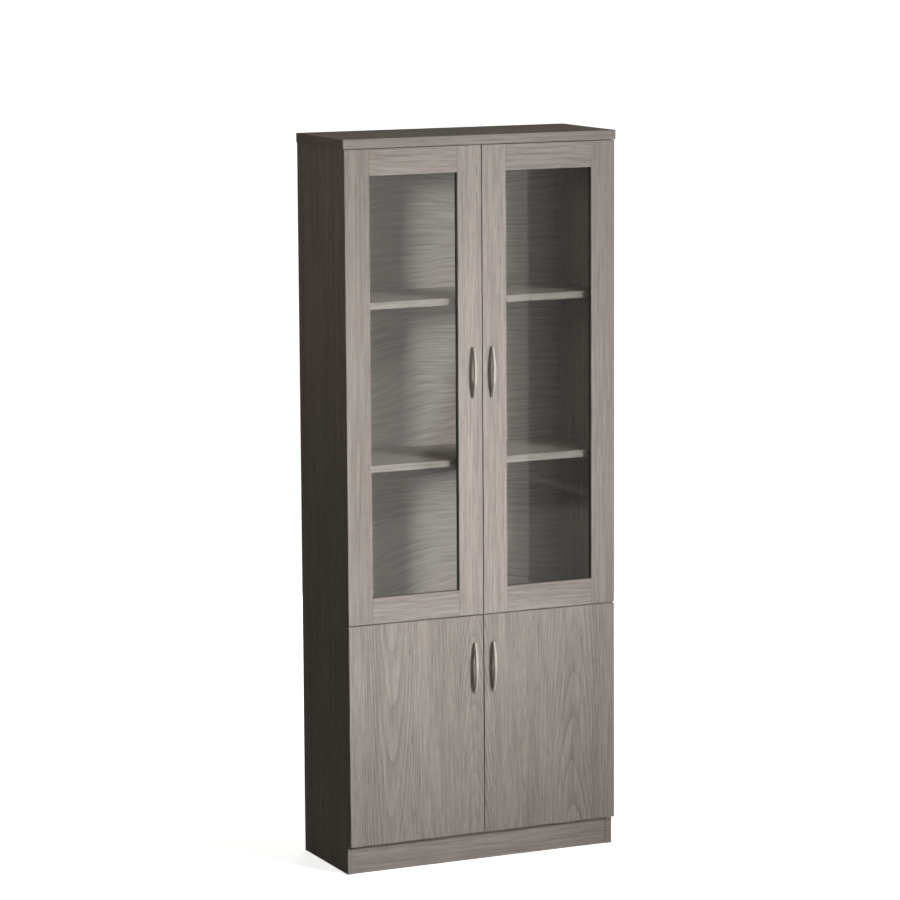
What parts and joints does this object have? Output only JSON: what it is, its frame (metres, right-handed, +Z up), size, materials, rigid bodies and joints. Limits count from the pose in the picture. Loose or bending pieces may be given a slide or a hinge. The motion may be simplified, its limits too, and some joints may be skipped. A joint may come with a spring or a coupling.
{
  "type": "glazed bookcase with base cupboard",
  "caption": "Tall free-standing bookcase: framed glass doors over shelves, plain hinged doors over a base cupboard, bow handles and concealed hinges",
  "frame": {"origin": "on the floor, at the middle of the width, midway between the handles' fronts and the rear edges", "axes": "+X to the right seen from the front, +Y to the back, +Z up"},
  "size_m": [0.8, 0.3376, 1.98],
  "materials": {
    "oak_fronts": "grey oak melamine, matt, fine grain",
    "oak_carcass": "grey oak melamine, matt, fine grain",
    "oak_shelves": "grey oak melamine with banded front edge",
    "oak_back": "grey oak printed hardboard, grain across",
    "cabinet_glass": "clear float glass",
    "bead_plastic": "dark brown glazing strip",
    "satin_nickel": "satin nickel",
    "hinge_steel": "nickel-plated pressed steel",
    "fastener_steel": "zinc-plated steel",
    "zinc_cam": "die-cast zinc alloy",
    "bumper_rubber": "clear soft bumper"
  },
  "bodies": {
    "carcass": {"back_panel_lower": "oak_back", "back_panel_screws": "fastener_steel", "back_panel_upper": "oak_back", "base_shelf": "oak_shelves", "bottom_panel": "oak_carcass", "cam_bolts": "fastener_steel", "cam_housings": "zinc_cam", "door_bumpers": "bumper_rubber", "hinge_arms": "hinge_steel", "hinge_plates": "hinge_steel", "lower_glass_shelf": "oak_shelves", "middle_panel": "oak_carcass", "plinth_front": "oak_carcass", "plinth_rear": "oak_carcass", "shelf_pins": "fastener_steel", "side_panel_left": "oak_carcass", "side_panel_right": "oak_carcass", "top_panel": "oak_carcass", "upper_glass_shelf": "oak_shelves"},
    "upper_left_door": {"upper_left_bottom_rail": "oak_fronts", "upper_left_glass": "cabinet_glass", "upper_left_glazing_beads": "bead_plastic", "upper_left_handle": "satin_nickel", "upper_left_handle_screws": "fastener_steel", "upper_left_handle_stile": "oak_fronts", "upper_left_hinge_cups": "hinge_steel", "upper_left_hinge_stile": "oak_fronts", "upper_left_top_rail": "oak_fronts"},
    "upper_left_hinge_short_links": {"upper_left_short_links": "hinge_steel"},
    "upper_left_hinge_long_links": {"upper_left_long_links": "hinge_steel"},
    "upper_right_door": {"upper_right_bottom_rail": "oak_fronts", "upper_right_glass": "cabinet_glass", "upper_right_glazing_beads": "bead_plastic", "upper_right_handle": "satin_nickel", "upper_right_handle_screws": "fastener_steel", "upper_right_handle_stile": "oak_fronts", "upper_right_hinge_cups": "hinge_steel", "upper_right_hinge_stile": "oak_fronts", "upper_right_top_rail": "oak_fronts"},
    "upper_right_hinge_short_links": {"upper_right_short_links": "hinge_steel"},
    "upper_right_hinge_long_links": {"upper_right_long_links": "hinge_steel"},
    "lower_left_door": {"lower_left_handle": "satin_nickel", "lower_left_handle_screws": "fastener_steel", "lower_left_hinge_cups": "hinge_steel", "lower_left_slab": "oak_fronts"},
    "lower_left_hinge_short_links": {"lower_left_short_links": "hinge_steel"},
    "lower_left_hinge_long_links": {"lower_left_long_links": "hinge_steel"},
    "lower_right_door": {"lower_right_handle": "satin_nickel", "lower_right_handle_screws": "fastener_steel", "lower_right_hinge_cups": "hinge_steel", "lower_right_slab": "oak_fronts"},
    "lower_right_hinge_short_links": {"lower_right_short_links": "hinge_steel"},
    "lower_right_hinge_long_links": {"lower_right_long_links": "hinge_steel"}
  },
  "joints": [
    {"name": "upper_left_short_links_on_carcass", "type": "hinge", "parent": "carcass", "child": "upper_left_hinge_short_links", "pos_m": [-0.37187, -0.12824, 1.319], "axis": [0, 0, 1], "range_deg": [0, 71.5]},
    {"name": "upper_left_door_swing", "type": "hinge", "parent": "upper_left_hinge_short_links", "child": "upper_left_door", "pos_m": [-0.38687, -0.13675, 1.319], "axis": [0, 0, -1], "range_deg": [0, 166.25]},
    {"name": "upper_left_long_links_on_carcass", "type": "hinge", "parent": "carcass", "child": "upper_left_hinge_long_links", "pos_m": [-0.36102, -0.10733, 1.319], "axis": [0, 0, 1], "range_deg": [0, 39.87]},
    {"name": "upper_right_short_links_on_carcass", "type": "hinge", "parent": "carcass", "child": "upper_right_hinge_short_links", "pos_m": [0.37187, -0.12824, 1.319], "axis": [0, 0, -1], "range_deg": [0, 71.5]},
    {"name": "upper_right_door_swing", "type": "hinge", "parent": "upper_right_hinge_short_links", "child": "upper_right_door", "pos_m": [0.38687, -0.13675, 1.319], "axis": [0, 0, 1], "range_deg": [0, 166.25]},
    {"name": "upper_right_long_links_on_carcass", "type": "hinge", "parent": "carcass", "child": "upper_right_hinge_long_links", "pos_m": [0.36102, -0.10733, 1.319], "axis": [0, 0, -1], "range_deg": [0, 39.87]},
    {"name": "lower_left_short_links_on_carcass", "type": "hinge", "parent": "carcass", "child": "lower_left_hinge_short_links", "pos_m": [-0.37187, -0.12824, 0.3805], "axis": [0, 0, 1], "range_deg": [0, 71.5]},
    {"name": "lower_left_door_swing", "type": "hinge", "parent": "lower_left_hinge_short_links", "child": "lower_left_door", "pos_m": [-0.38687, -0.13675, 0.3805], "axis": [0, 0, -1], "range_deg": [0, 166.25]},
    {"name": "lower_left_long_links_on_carcass", "type": "hinge", "parent": "carcass", "child": "lower_left_hinge_long_links", "pos_m": [-0.36102, -0.10733, 0.3805], "axis": [0, 0, 1], "range_deg": [0, 39.87]},
    {"name": "lower_right_short_links_on_carcass", "type": "hinge", "parent": "carcass", "child": "lower_right_hinge_short_links", "pos_m": [0.37187, -0.12824, 0.3805], "axis": [0, 0, -1], "range_deg": [0, 71.5]},
    {"name": "lower_right_door_swing", "type": "hinge", "parent": "lower_right_hinge_short_links", "child": "lower_right_door", "pos_m": [0.38687, -0.13675, 0.3805], "axis": [0, 0, 1], "range_deg": [0, 166.25]},
    {"name": "lower_right_long_links_on_carcass", "type": "hinge", "parent": "carcass", "child": "lower_right_hinge_long_links", "pos_m": [0.36102, -0.10733, 0.3805], "axis": [0, 0, -1], "range_deg": [0, 39.87]}
  ],
  "couplings": [
    {"joint": "upper_left_short_links_on_carcass", "follows": "upper_left_door_swing", "ratio": 0.42857},
    {"joint": "upper_left_long_links_on_carcass", "follows": "upper_left_door_swing", "ratio": 0.23829},
    {"joint": "upper_right_short_links_on_carcass", "follows": "upper_right_door_swing", "ratio": 0.42857},
    {"joint": "upper_right_long_links_on_carcass", "follows": "upper_right_door_swing", "ratio": 0.23829},
    {"joint": "lower_left_short_links_on_carcass", "follows": "lower_left_door_swing", "ratio": 0.42857},
    {"joint": "lower_left_long_links_on_carcass", "follows": "lower_left_door_swing", "ratio": 0.23829},
    {"joint": "lower_right_short_links_on_carcass", "follows": "lower_right_door_swing", "ratio": 0.42857},
    {"joint": "lower_right_long_links_on_carcass", "follows": "lower_right_door_swing", "ratio": 0.23829}
  ]
}
